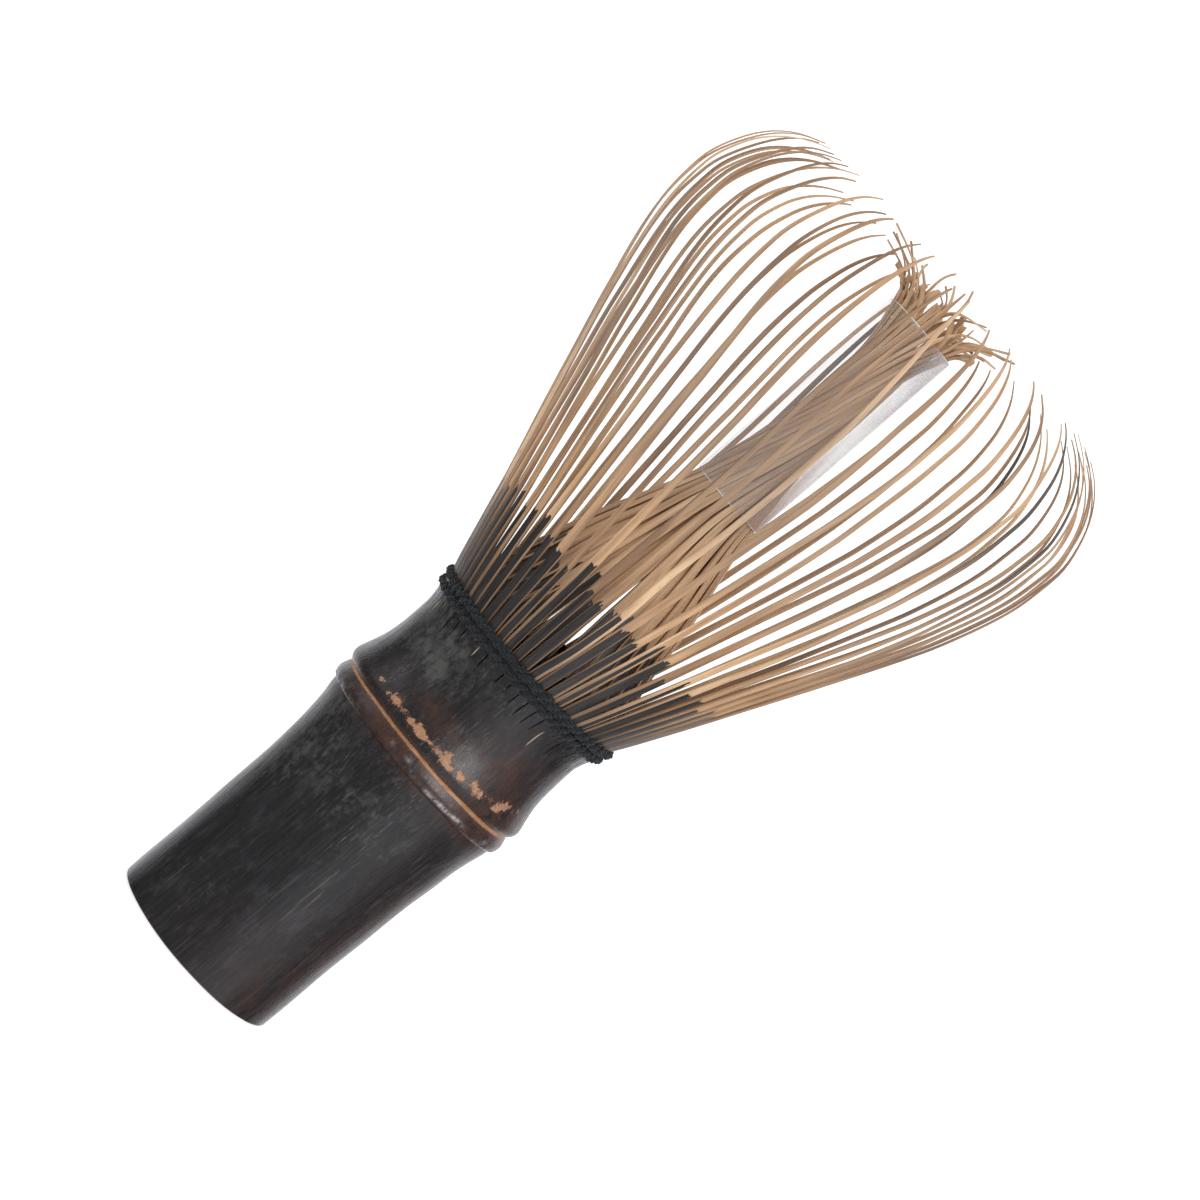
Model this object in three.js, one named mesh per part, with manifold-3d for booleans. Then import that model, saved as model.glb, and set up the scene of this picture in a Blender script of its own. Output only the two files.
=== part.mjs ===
// A bamboo tea whisk (chasen), standing on its base: +Z points to the tips of the tines.
// One culm of black-skinned bamboo is split into twelve segments. Each segment carries five outer
// tines, which form the cage, and five inner tines, which gather into a twisted core. Two rows of
// dark thread bind the roots, a third row holds the two rings of tines apart, and a clear film
// sleeve protects the core. All lengths are in millimetres.
import * as THREE from "three";
import { mergeVertices } from "three/addons/utils/BufferGeometryUtils.js";
import Module from "manifold-3d";

const wasm = await Module();
wasm.setup();

const degrees = THREE.MathUtils.degToRad;
const mix = THREE.MathUtils.lerp;
const ease = THREE.MathUtils.smoothstep;

// Driving dimensions
const SEGMENTS = 12;
const TINES_PER_SEGMENT = 5;
const TINE_PITCH = degrees(360 / (SEGMENTS * TINES_PER_SEGMENT));
const GAP = 0.3; // between pieces that touch on the real whisk
const ROUND_STEPS = 36; // sides of the culm and the thread rows

const CULM_RADIUS = 12;
const BORE_RADIUS = 7.6;
const SEPTUM_BOTTOM = 34.2;
const SEPTUM_TOP = 36.8;
const EDGE_ROUND = 0.3;
const COLLAR_TOP = 51;
const THREAD_SEAT_RADIUS = 13.15;
const COLLAR_INNER_RADIUS = 11.7;

const ROOT_BOTTOM = COLLAR_TOP + GAP;
const ROOT_HEIGHT = 1;
const ROOT_SIDE_GAP = 0.8; // degrees, at each end of a segment's root strip
const ROOT_HALF_ANGLE = degrees(180 / SEGMENTS - ROOT_SIDE_GAP);
const OUTER_ROOT = [12.65, 13.2]; // inner and outer radius of the strip that five tines share
const INNER_ROOT = [11.75, 12.3];

const YARN_SIDES = 6;
const LOWER_ROW = { radius: 13.9, height: 50.05, halfDepth: 0.45, halfHeight: 0.65 };
const UPPER_ROW = { radius: 14, height: 51.65, halfDepth: 0.45, halfHeight: 0.65 };
const SPREADER_ROW = { radius: 12.95, height: 53.5, halfDepth: 0.4, halfHeight: 0.4 };

const SLEEVE_RADIUS = 5.1;
const SLEEVE_WALL = 0.2;
const SLEEVE_BOTTOM = 79.6;
const SLEEVE_LENGTH = 29.6;
const SLEEVE_STEPS = 24;

// The culm's outside from the base edge to the thread seat, as [radius, height].
const CULM_OUTSIDE = [
  [CULM_RADIUS - EDGE_ROUND, 0],
  [CULM_RADIUS, EDGE_ROUND],
  [CULM_RADIUS, 12],
  [12.27, 24],
  [12.8, 30.8],
  [13.05, 32.2],
  [13.9, 34.8], // scar of the fallen sheath
  [13.6, 36.1], // groove
  [14.07, 37.5], // node ridge
  [13.6, 38.8],
  [12.97, 41.5],
  [12.8, 44.8], // waist of the collar
  [12.95, 47.5],
  [THREAD_SEAT_RADIUS, 49],
];

// The hollow above the septum, from its rim down to the axis.
const CULM_HOLLOW = [
  [COLLAR_INNER_RADIUS, COLLAR_TOP],
  [11.3, 46],
  [9, 39.5],
  [7, 37.4],
  [0, SEPTUM_TOP],
];

// Centre lines of the tines, as [radius, height] from root to tip.
const OUTER_LINE = [
  [12.93, 51.5],
  [13.1, 52.4],
  [14.5, 53.6],
  [17.9, 62],
  [23.2, 75.3],
  [27.4, 86.2],
  [30.2, 95.5],
  [30.75, 101.1],
  [29.4, 107.8],
  [26.5, 112],
  [23, 114.8],
];
const CORE_SKIN_LINE = [
  [12.02, 51.5],
  [11.85, 53],
  [10.3, 60],
  [8, 68.5],
  [4.5, 79.6],
  [3.4, 88],
  [2.75, 96.5],
  [3.2, 104],
  [4.3, 109],
  [6.8, 112],
  [9.2, 113.6],
  [10.8, 114.2],
];
const CORE_HEART_LINE = [
  [12.02, 51.5],
  [11.85, 53],
  [10.1, 60],
  [7.3, 68.5],
  [3.7, 79.6],
  [2.6, 88],
  [2.05, 96.5],
  [2.4, 104],
  [3.3, 109.5],
  [4.8, 112.6],
  [6.6, 114.2],
  [8.2, 114.8],
];
// Where each tine is measured, as shares of its length: close together where it bends.
const OUTER_STATIONS = [0, 0.014, 0.034, 0.42, 0.62, 0.74, 0.83, 0.91, 1];
const INNER_STATIONS = [0, 0.03, 0.43, 0.58, 0.72, 0.86, 0.93, 1];

const OUTER_TINE = { rootWidth: 0.95, tipWidth: 0.35, rootDepth: 0.5, tipDepth: 0.2 };
const INNER_TINE = { rootWidth: 0.65, tipWidth: 0.26, rootDepth: 0.42, tipDepth: 0.2 };

const TWIST = degrees(100); // of the core, from where the inner tines meet to the sleeve's top
const TWIST_FROM = 62;
const TWIST_TO = 110;
const CORE_GATHER = 10 / 12; // the outer layer of the core draws its tines together by this much
const HEART_SPREAD = 7.5 / 6; // and the layer inside it spreads its own by this much

const materials = {
  blackBamboo: { color: 0x2a2624, roughness: 0.45 },
  tanBamboo: { color: 0xa37c56, roughness: 0.6 },
  thread: { color: 0x17191c, roughness: 0.95 },
  film: { color: 0xe6e8ea, roughness: 0.1, transparent: true, opacity: 0.35 },
};

function piece(name, geometry, look, turn = 0) {
  const mesh = new THREE.Mesh(geometry, new THREE.MeshStandardMaterial(look));
  mesh.name = name;
  mesh.rotation.z = turn;
  return mesh;
}

function asVectors(points) {
  return points.map(([radius, height]) => new THREE.Vector2(radius, height));
}

// Turns a profile of [radius, height] points about Z.
function turned(profile, steps) {
  return new THREE.LatheGeometry(asVectors(profile), steps).rotateX(Math.PI / 2);
}

function solidFrom(geometry) {
  const bare = new THREE.BufferGeometry();
  bare.setAttribute("position", geometry.getAttribute("position"));
  bare.setIndex(geometry.index);
  const merged = mergeVertices(bare, 1e-4);
  return new wasm.Manifold(
    new wasm.Mesh({
      numProp: 3,
      vertProperties: merged.attributes.position.array,
      triVerts: new Uint32Array(merged.index.array),
    }),
  );
}

function geometryFrom(solid) {
  const mesh = solid.getMesh();
  const geometry = new THREE.BufferGeometry();
  geometry.setAttribute("position", new THREE.BufferAttribute(mesh.vertProperties, 3));
  geometry.setIndex(new THREE.BufferAttribute(mesh.triVerts, 1));
  geometry.computeVertexNormals();
  return geometry;
}

function joined(geometries) {
  const [first, ...rest] = geometries.map(solidFrom);
  return geometryFrom(rest.reduce((whole, solid) => whole.add(solid), first));
}

// A tapered bar along a centre line. angleAt gives the bar's place round the whisk at a height.
function tine(line, stations, size, angleAt) {
  const curve = new THREE.SplineCurve(asVectors(line));
  const last = stations.length - 1;
  const bar = new THREE.BoxGeometry(1, 1, last, 1, 1, last);
  const place = bar.getAttribute("position");
  for (let i = 0; i < place.count; i++) {
    const share = stations[Math.round(place.getZ(i) + last / 2)];
    const middle = curve.getPointAt(share);
    const along = curve.getTangentAt(share);
    const outwards = place.getX(i) * mix(size.rootDepth, size.tipDepth, share);
    const sideways = place.getY(i) * mix(size.rootWidth, size.tipWidth, share);
    const radius = middle.x + outwards * along.y;
    const height = middle.y - outwards * along.x;
    const spot = new THREE.Vector3(radius, sideways, height);
    spot.applyAxisAngle(new THREE.Vector3(0, 0, 1), angleAt(middle.y));
    place.setXYZ(i, spot.x, spot.y, spot.z);
  }
  return bar;
}

// The strip of culm wall that the five tines of a segment grow from.
function rootStrip([insideRadius, outsideRadius]) {
  const outline = new THREE.Shape();
  outline.absarc(0, 0, outsideRadius, -ROOT_HALF_ANGLE, ROOT_HALF_ANGLE, false);
  outline.absarc(0, 0, insideRadius, ROOT_HALF_ANGLE, -ROOT_HALF_ANGLE, true);
  const settings = { depth: ROOT_HEIGHT, bevelEnabled: false, curveSegments: 4 };
  return new THREE.ExtrudeGeometry(outline, settings).translate(0, 0, ROOT_BOTTOM);
}

const tineNumbers = [...Array(TINES_PER_SEGMENT).keys()];
const middleTine = (TINES_PER_SEGMENT - 1) / 2;

function outerSegment() {
  const tines = tineNumbers.map((number) => {
    const angle = (number - middleTine) * TINE_PITCH;
    return tine(OUTER_LINE, OUTER_STATIONS, OUTER_TINE, () => angle);
  });
  return joined([rootStrip(OUTER_ROOT), ...tines]);
}

// Every second inner tine lies in the heart of the core, the others in the layer round it.
function innerSegment() {
  const tines = tineNumbers.map((number) => {
    const inHeart = number % 2 === 1;
    const line = inHeart ? CORE_HEART_LINE : CORE_SKIN_LINE;
    const spread = inHeart ? HEART_SPREAD : CORE_GATHER;
    const angle = (number - middleTine) * TINE_PITCH;
    return tine(line, INNER_STATIONS, INNER_TINE, (height) => {
      const turn = ease(height, TWIST_FROM, TWIST_TO);
      return angle * mix(1, spread, turn) + TWIST * turn;
    });
  });
  return joined([rootStrip(INNER_ROOT), ...tines]);
}

function handle() {
  const profile = [
    [0, SEPTUM_BOTTOM],
    [BORE_RADIUS, SEPTUM_BOTTOM],
    [BORE_RADIUS, 0],
    ...CULM_OUTSIDE,
    [THREAD_SEAT_RADIUS, COLLAR_TOP],
    ...CULM_HOLLOW,
  ];
  return turned(profile, ROUND_STEPS);
}

// A row of thread, drawn as a ring with an oval section.
function threadRow(row) {
  const profile = [];
  for (let side = 0; side <= YARN_SIDES; side++) {
    const angle = (2 * Math.PI * (side % YARN_SIDES)) / YARN_SIDES + Math.PI / 2;
    const radius = row.radius + row.halfDepth * Math.cos(angle);
    const height = row.height + row.halfHeight * Math.sin(angle);
    profile.push([radius, height]);
  }
  return turned(profile, ROUND_STEPS);
}

function sleeve() {
  const insideRadius = SLEEVE_RADIUS - SLEEVE_WALL;
  const top = SLEEVE_BOTTOM + SLEEVE_LENGTH;
  const profile = [
    [insideRadius, SLEEVE_BOTTOM],
    [SLEEVE_RADIUS, SLEEVE_BOTTOM],
    [SLEEVE_RADIUS, top],
    [insideRadius, top],
    [insideRadius, SLEEVE_BOTTOM],
  ];
  return turned(profile, SLEEVE_STEPS);
}

const whisk = new THREE.Group();
whisk.add(piece("handle", handle(), materials.blackBamboo));
whisk.add(piece("binding_thread_lower_row", threadRow(LOWER_ROW), materials.thread));
whisk.add(piece("binding_thread_upper_row", threadRow(UPPER_ROW), materials.thread));
whisk.add(piece("spreader_thread", threadRow(SPREADER_ROW), materials.thread));
whisk.add(piece("core_sleeve", sleeve(), materials.film));

const outer = outerSegment();
const inner = innerSegment();
for (let segment = 0; segment < SEGMENTS; segment++) {
  const number = String(segment + 1).padStart(2, "0");
  const turn = degrees((segment * 360) / SEGMENTS);
  whisk.add(piece(`outer_tines_${number}`, outer, materials.tanBamboo, turn));
  // the inner tines stand between the outer ones, half a pitch round
  whisk.add(piece(`inner_tines_${number}`, inner, materials.tanBamboo, turn + TINE_PITCH / 2));
}

export default whisk;
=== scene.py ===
"""The looks of a bamboo tea whisk, built round its CAD frame.

The whisk stands on its base, and +Z points to the tips of its tines. Shapes are worked out in
millimetres and turn into metres in one place, new_piece(). An angle round the whisk is counted
from +X towards +Y. FRONT is the angle of the side that faces the camera.
"""

import math
import random

import bpy
import numpy as np
from mathutils import Matrix, Vector, noise


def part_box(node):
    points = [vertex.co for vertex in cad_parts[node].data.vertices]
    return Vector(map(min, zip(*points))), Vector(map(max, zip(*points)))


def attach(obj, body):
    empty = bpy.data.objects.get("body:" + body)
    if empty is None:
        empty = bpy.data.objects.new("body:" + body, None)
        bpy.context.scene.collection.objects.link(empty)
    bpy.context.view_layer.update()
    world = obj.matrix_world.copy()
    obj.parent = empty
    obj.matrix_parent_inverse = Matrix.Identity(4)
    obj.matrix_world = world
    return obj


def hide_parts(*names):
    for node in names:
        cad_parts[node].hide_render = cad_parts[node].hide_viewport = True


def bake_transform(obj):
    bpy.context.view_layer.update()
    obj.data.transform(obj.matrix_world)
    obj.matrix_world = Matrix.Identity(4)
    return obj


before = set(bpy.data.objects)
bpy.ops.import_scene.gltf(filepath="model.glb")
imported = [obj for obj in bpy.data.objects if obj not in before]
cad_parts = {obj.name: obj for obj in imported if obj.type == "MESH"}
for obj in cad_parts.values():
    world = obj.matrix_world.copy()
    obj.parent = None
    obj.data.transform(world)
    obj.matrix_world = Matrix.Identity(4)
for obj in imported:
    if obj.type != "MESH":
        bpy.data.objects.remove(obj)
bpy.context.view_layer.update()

METRE = 1000.0  # in millimetres
TURN = 2 * math.pi
FRONT = math.radians(-90)  # the side that faces the camera

SEGMENTS = sum(name.startswith("outer_tines_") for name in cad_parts)
TINES_PER_SEGMENT = 5
TINES = SEGMENTS * TINES_PER_SEGMENT
TINE_PITCH = TURN / TINES

COLLAR_TOP = 50.9
BORE_RADIUS = 7.6
SEPTUM_BOTTOM = 34.2
FILM_BOTTOM = 80.2
FILM_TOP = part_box("core_sleeve")[1].z * METRE
FILM_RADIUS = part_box("core_sleeve")[1].x * METRE

# The culm's outside, as (radius, height) from the base to the top of the collar.
CULM_OUTSIDE = [
    (11.62, 0.0), (11.8, 0.08), (11.88, 0.28), (11.9, 0.6), (11.93, 6), (11.97, 13), (12.06, 18.5),
    (12.22, 23), (12.5, 27.6), (12.8, 30.3), (13.02, 31.6), (13.2, 32.5), (13.28, 33.2), (13.3, 33.42),
    (13.56, 33.52), (13.76, 33.8), (13.9, 34.25), (13.9, 34.7), (13.76, 35.15), (13.6, 35.6),
    (13.48, 35.9), (13.68, 36.15), (13.95, 36.55), (14.08, 37.1), (14.0, 37.6), (13.78, 38.3),
    (13.5, 39.2), (13.28, 40), (13.1, 40.8), (12.95, 41.8), (12.84, 43.3), (12.81, 45.5),
    (12.84, 46.9), (12.95, 47.6), (13.15, 48.4), (13.42, 49.1), (13.6, 49.8), (13.7, COLLAR_TOP),
]
SCAR_HEIGHT = 33.45  # the edge that the fallen sheath left
LINE_HEIGHT = 35.9  # the groove under the node ridge

# The side of the cage that faces out, as (radius, height) from root to tip.
CAGE_LINE = [
    (13.62, 50.75), (14.8, 53.4), (17.0, 58.9), (19.15, 64.4), (23.55, 75.3), (27.7, 86.2),
    (30.45, 95.5), (31.1, 101.5), (30.75, 105.2), (28.9, 109.6), (26.3, 112.6), (22.6, 114.7),
]
# The outer layer of the twisted core, and what the layer inside it keeps from it.
CORE_LINE = [
    (12.75, 50.9), (12.5, 53), (11.5, 57), (10.3, 61), (8.9, 67), (7.0, 73), (5.3, 78.4),
    (4.5, 82), (3.55, 88), (2.75, 96.5), (2.9, 101), (3.4, 105), (4.7, 109.1),
]
# Width and depth of the tines, as (height, millimetres).
OUTER_WIDTH = [(50, 1.24), (53, 1.24), (60, 1.14), (66, 1.0), (75, 0.82), (84, 0.74), (97, 0.68),
               (104, 0.58), (111, 0.46), (115, 0.14)]
OUTER_DEPTH = [(50, 0.6), (56, 0.52), (66, 0.42), (78, 0.34), (100, 0.25), (110, 0.17), (115, 0.08)]
INNER_WIDTH = [(50, 1.14), (60, 1.14), (66, 1.1), (72, 1.04), (78, 0.92), (84, 0.76), (92, 0.62),
               (108, 0.6)]
INNER_DEPTH = [(50, 0.4), (70, 0.34), (96, 0.26), (108, 0.2)]
# How far the cage, the core and the culm lean to the right, as (height, millimetres).
CAGE_LEAN = [(52, 0), (63, 0.4), (79, 0.68), (87, 0.74), (100, 0.4), (115, 0.3)]
CORE_LEAN = [(52, 0), (63, 0.2), (80, 0.5), (96, 0.35), (110, 0.1), (115, 0.1)]
CULM_LEAN = [(0, 0), (18, 0.12), (26, 0.2), (31, 0.12), (36, -0.03), (47, -0.16), (52, 0)]

PEEL_HEIGHT = 63.2  # above it the black skin is peeled off
STAINED_TINES = (53, 55, 8, 16)  # outer tines whose ends are dark from tea


# ---------------------------------------------------------------- small helpers

def distance_along(path):
    steps = np.linalg.norm(np.diff(path, axis=0), axis=1)
    return np.concatenate([[0], np.cumsum(steps)])


def smooth_line(points, count):
    """Evenly spaced points on a smooth curve through the given ones."""
    given = np.array(points, float)
    given = np.vstack([2 * given[0] - given[1], given, 2 * given[-1] - given[-2]])
    share = np.linspace(0, 1, 24, endpoint=False)[:, None]
    parts = []
    for a, b, c, d in zip(given[:-3], given[1:-2], given[2:-1], given[3:]):
        bend = (2 * a - 5 * b + 4 * c - d) * share**2 + (3 * b - a - 3 * c + d) * share**3
        parts.append(0.5 * (2 * b + (c - a) * share + bend))
    fine = np.vstack([*parts, given[-2:-1]])
    travelled = distance_along(fine)
    stops = np.linspace(0, travelled[-1], count)
    return np.column_stack([np.interp(stops, travelled, axis) for axis in fine.T])


def ease(value, low, high):
    """0 below low, 1 above high, and smooth between them."""
    share = np.clip((value - low) / (high - low), 0, 1)
    return share * share * (3 - 2 * share)


def unit(vectors):
    return vectors / np.linalg.norm(vectors, axis=-1, keepdims=True)


def around(radius, angle, height):
    """Points from their distance to the axis, their angle and their height."""
    radius, angle, height = np.broadcast_arrays(radius, angle, height)
    return np.stack([radius * np.cos(angle), radius * np.sin(angle), height], axis=-1)


def at_height(table, heights):
    """The values of a table, given as (height, value), at some heights."""
    given = np.array(table)
    return np.interp(heights, given[:, 0], given[:, 1])


def noise_at(places, pitch, squeeze=1.0):
    """Noise at an array of points, finer with a greater pitch and drawn out along the height."""
    points = places.reshape(-1, 3) * (1, 1, squeeze) * pitch
    return np.array([noise.noise(Vector(point)) for point in points]).reshape(places.shape[:-1])


def quads_between(low, high):
    """Quads between closed rings of points and the rings after them."""
    corners = [low, np.roll(low, -1, axis=-1), np.roll(high, -1, axis=-1), high]
    return np.stack(corners, axis=-1).reshape(-1, 4).tolist()


def ring_quads(rows, sides, first=0):
    """Quads between successive closed rings of points."""
    index = first + np.arange(rows * sides).reshape(rows, sides)
    return quads_between(index[:-1], index[1:])


def rings_along(path, first_way, first, second_way, second):
    """Rings of points round a path, from two directions and how far the points lie along each."""
    firsts = first_way[:, None, :] * first[..., None]
    seconds = second_way[:, None, :] * second[..., None]
    return path[:, None, :] + firsts + seconds


class Shape:
    """Points, faces and attributes of a piece while it is put together."""

    def __init__(self):
        self.points, self.faces, self.looks = [], [], []
        self.values = {}
        self.count = 0

    def add_tube(self, rings, look_of_side=None, capped=True, **values):
        """A tube through rings of points, with its values given for each ring or each point."""
        rows, sides = rings.shape[:2]
        faces = ring_quads(rows, sides, self.count)
        looks = list(look_of_side or [0] * sides) * (rows - 1)
        if capped:
            faces.append(list(range(self.count + sides - 1, self.count - 1, -1)))
            last = self.count + (rows - 1) * sides
            faces.append(list(range(last, last + sides)))
            looks += [0, 0]
        self.points.append(rings.reshape(-1, 3))
        self.faces += faces
        self.looks += looks
        for name, value in values.items():
            if value.ndim == 1:
                value = np.repeat(value[:, None], sides, axis=1)
            whole = value.reshape(rows * sides, *value.shape[2:])
            self.values.setdefault(name, []).append(whole)
        self.count += rows * sides


def new_piece(name, shape, materials, crease=35):
    """A Blender object from a shape. Edges sharper than crease, in degrees, stay sharp."""
    mesh = bpy.data.meshes.new(name)
    points = np.vstack(shape.points) / METRE
    mesh.from_pydata(points.tolist(), [], shape.faces)
    mesh.polygons.foreach_set("material_index", shape.looks)
    for title, parts in shape.values.items():
        whole = np.concatenate(parts)
        kind, field = ("FLOAT_VECTOR", "vector") if whole.ndim == 2 else ("FLOAT", "value")
        layer = mesh.attributes.new(title, kind, "POINT")
        layer.data.foreach_set(field, whole.astype(np.float32).ravel())
    for material in materials:
        mesh.materials.append(material)
    mesh.shade_smooth()
    mesh.set_sharp_from_angle(angle=math.radians(crease))
    mesh.update()
    made = bpy.data.objects.new(name, mesh)
    bpy.context.scene.collection.objects.link(made)
    return made


# ---------------------------------------------------------------- shader helpers

def plug(tree, socket, value):
    """Gives a socket a value, or links it from another socket."""
    if isinstance(value, bpy.types.NodeSocket):
        tree.links.new(value, socket)
    elif hasattr(socket.default_value, "__len__") and len(socket.default_value) == 4:
        socket.default_value = (*value, 1.0)
    else:
        socket.default_value = value


def add(tree, kind, inputs=None, **settings):
    """A shader node with its inputs set or linked."""
    made = tree.nodes.new("ShaderNode" + kind)
    for name, value in settings.items():
        setattr(made, name, value)
    for name, value in (inputs or {}).items():
        plug(tree, made.inputs[name], value)
    return made


def new_material(name, **values):
    """A material, its node tree and its Principled shader."""
    material = bpy.data.materials.new(name)
    material.use_nodes = True
    tree = material.node_tree
    shader = tree.nodes["Principled BSDF"]
    for socket, value in values.items():
        plug(tree, shader.inputs[socket.replace("_", " ")], value)
    return material, tree, shader


def millimetres(tree, lengthwise=1.0):
    """The place on the piece in millimetres, with the height squeezed by the share given."""
    place = add(tree, "TexCoord").outputs["Object"]
    scale = (METRE, METRE, METRE * lengthwise)
    return add(tree, "Mapping", {"Vector": place, "Scale": scale}).outputs[0]


def attribute(tree, name):
    return add(tree, "Attribute", attribute_name=name).outputs["Fac"]


def fibre_place(tree, across, along):
    """The place on a tine: across it, along it, and a number that differs from tine to tine."""
    place = add(tree, "Attribute", attribute_name="fibre").outputs["Vector"]
    return add(tree, "Mapping", {"Vector": place, "Scale": (across, along, 1.0)}).outputs[0]


def cloud(tree, place, scale, detail=4.0, roughness=0.5):
    inputs = {"Vector": place, "Scale": scale, "Detail": detail, "Roughness": roughness}
    return add(tree, "TexNoise", inputs).outputs[0]


def between(tree, value, low, high, start=0.0, end=1.0):
    """Maps low..high to start..end, smoothly and clamped."""
    inputs = {"Value": value, "From Min": low, "From Max": high, "To Min": start, "To Max": end}
    return add(tree, "MapRange", inputs, interpolation_type="SMOOTHSTEP").outputs[0]


def calculate(tree, operation, first, second):
    made = add(tree, "Math", operation=operation)
    plug(tree, made.inputs[0], first)
    plug(tree, made.inputs[1], second)
    return made.outputs[0]


def plus(tree, first, second):
    return calculate(tree, "ADD", first, second)


def times(tree, first, second):
    return calculate(tree, "MULTIPLY", first, second)


def mixed(tree, share, first, second):
    """A colour between two, by a share from 0 to 1."""
    made = add(tree, "Mix", data_type="RGBA")
    plug(tree, made.inputs[0], share)
    plug(tree, made.inputs[6], first)
    plug(tree, made.inputs[7], second)
    return made.outputs[2]


def set_stops(ramp, stops):
    """Gives a colour ramp its stops, as (position, colour)."""
    elements = ramp.color_ramp.elements
    while len(elements) < len(stops):
        elements.new(0.5)
    for element, (position, colour) in zip(elements, stops):
        element.position = position
        element.color = (*colour, 1.0)


def bumped(tree, shader, height, depth):
    """Relief on the surface, depth in metres."""
    relief = add(tree, "Bump", {"Height": height, "Distance": depth, "Strength": 1.0})
    plug(tree, shader.inputs["Normal"], relief.outputs[0])


# ---------------------------------------------------------------- materials

CHARCOAL = (0.0062, 0.0053, 0.0060)
WORN_CHARCOAL = (0.0165, 0.0146, 0.0162)
FADED_CHARCOAL = (0.030, 0.0275, 0.0300)
LICHEN_GREY = (0.060, 0.0615, 0.0575)
SMOKED_BROWN = (0.042, 0.0165, 0.0095)
NODE_ORANGE = (0.27, 0.118, 0.053)
WORN_TAN = (0.33, 0.182, 0.105)
PALE_SLIVER = (0.36, 0.28, 0.19)
SCRATCH = (0.10, 0.094, 0.09)
LINE_PALE = (0.34, 0.185, 0.10)
LINE_HALO = (0.075, 0.034, 0.02)
PAINTED_GLINT = (0.40, 0.39, 0.38)
KERF_SHADE = (0.004, 0.003, 0.003)
CUT_WOOD_DARK = (0.33, 0.21, 0.115)
CUT_WOOD_PALE = (0.50, 0.36, 0.22)
VESSEL_BROWN = (0.13, 0.07, 0.035)
# The tans of the tines, as (tint, colour), and what changes them.
TANS = [(0.0, (0.19, 0.105, 0.055)), (0.35, (0.34, 0.198, 0.105)),
        (0.7, (0.49, 0.300, 0.163)), (1.0, (0.60, 0.420, 0.258))]
FIBRE_BROWN = (0.19, 0.105, 0.055)
SOAKED_TAN = (0.198, 0.153, 0.120)
ROOTWARD_TAN = (0.115, 0.074, 0.048)
TEA_STAIN = (0.045, 0.045, 0.047)
ROOT_BLACK = (0.010, 0.0086, 0.0080)
ROOT_GREY = (0.033, 0.029, 0.027)
THREAD_DARK = (0.0065, 0.0075, 0.0085)
THREAD_LIGHT = (0.026, 0.030, 0.036)
THREAD_DULL = (0.010, 0.010, 0.010)
FILM_GREY = (0.365, 0.335, 0.335)
FILM_PALE = (0.485, 0.455, 0.45)
FILM_EDGE_HIGHLIGHT = (0.95, 0.95, 0.95)
TEA_FILM = (0.36, 0.235, 0.17)
FLOOR_GREY = (0.47, 0.47, 0.47)
FLOOR_PALE = (0.48, 0.48, 0.48)
# Relief of the surfaces, in metres.
SKIN_RELIEF = 0.00006
CUT_RELIEF = 0.00008
FIBRE_RELIEF = 0.00002
YARN_RELIEF = 0.00006


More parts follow.
